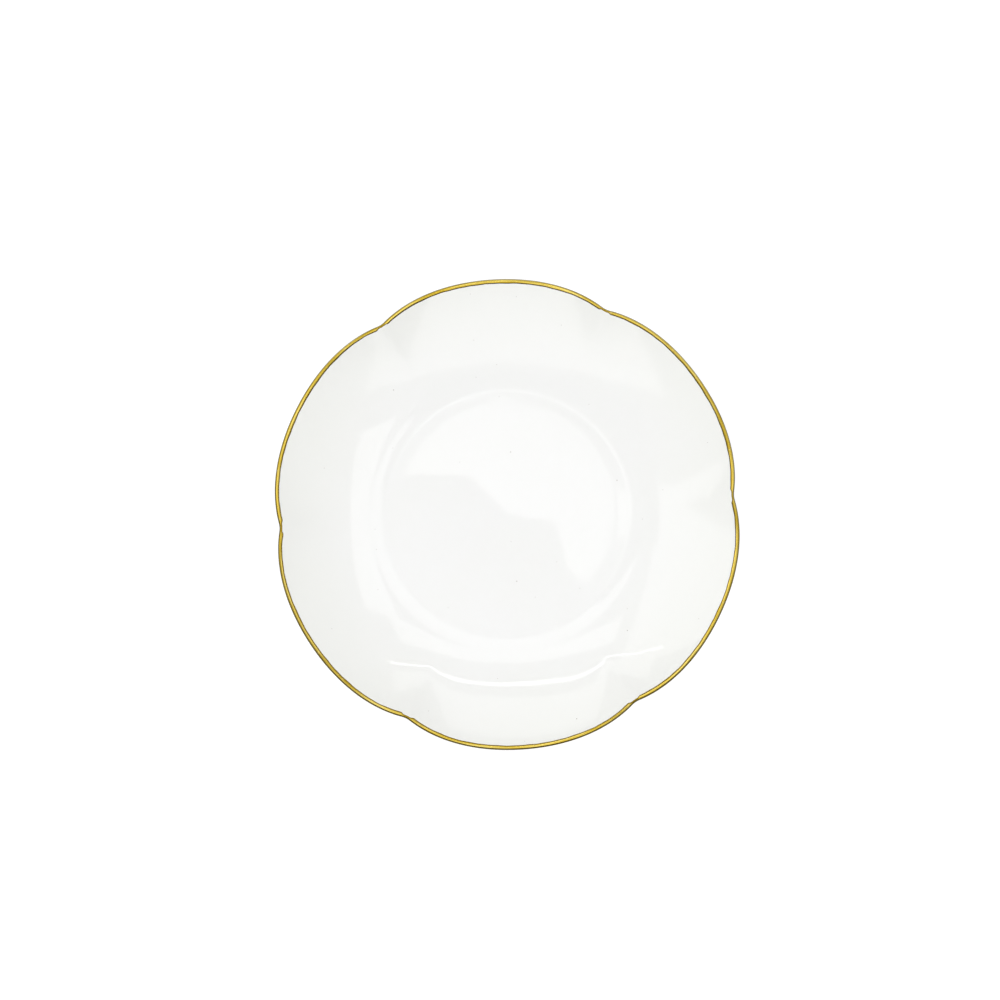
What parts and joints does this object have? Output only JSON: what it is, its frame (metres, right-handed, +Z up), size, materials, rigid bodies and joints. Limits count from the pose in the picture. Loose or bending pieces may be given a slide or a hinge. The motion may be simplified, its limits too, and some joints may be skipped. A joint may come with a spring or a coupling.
{
  "type": "dinner plate",
  "caption": "White glazed bone china dinner plate with a flat well, a curved rim scalloped into shallow lobes with radial ridges, a foot ring and a gilded lip.",
  "frame": {"origin": "centre of the foot ring, on the table", "axes": "+Z up along the axis of the foot ring, out of the face of the plate; +X through one notch of the rim"},
  "size_m": [0.2612, 0.267, 0.025],
  "materials": {
    "clay": "satin",
    "bare_edge": "matte",
    "glaze": "gloss",
    "gold": "polished"
  },
  "bodies": {
    "root": {"porcelain_body": "clay", "foot_ring": "bare_edge", "face_glaze": "glaze", "back_glaze": "glaze", "base_glaze": "glaze", "gold_band": "gold"}
  },
  "joints": []
}
